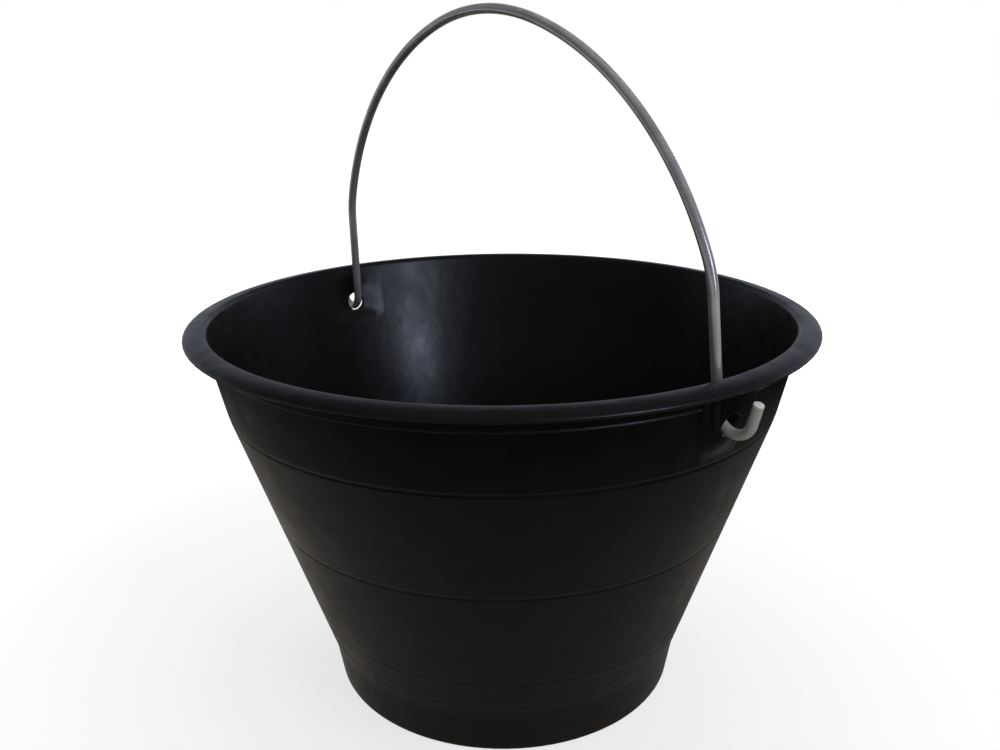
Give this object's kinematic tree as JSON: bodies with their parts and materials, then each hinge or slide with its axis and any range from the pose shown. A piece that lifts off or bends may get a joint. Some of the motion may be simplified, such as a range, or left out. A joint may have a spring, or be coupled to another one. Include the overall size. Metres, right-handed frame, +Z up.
{
  "type": "feed bucket",
  "caption": "Round tapered plastic feed bucket with a rolled rim and stepped ears, carried by a swinging bent wire bail hooked through the ears.",
  "frame": {"origin": "centre of the foot ring, on the surface the bucket stands on", "axes": "+Z up along the bucket's axis, X through the two bail holes, Y across them"},
  "size_m": [0.361, 0.35, 0.3838],
  "materials": {
    "bucket_plastic": "satin near-black moulded plastic with faint rings around it",
    "bail_wire": "drawn grey steel wire with fine lengthwise streaks"
  },
  "bodies": {
    "bucket": {"bucket": "bucket_plastic"},
    "bail": {"bail": "bail_wire"}
  },
  "joints": [
    {"name": "bail_swing", "type": "hinge", "parent": "bucket", "child": "bail", "pos_m": [0, 0, 0.19353], "axis": [1, 0, 0], "range_deg": [-64, 57]}
  ]
}
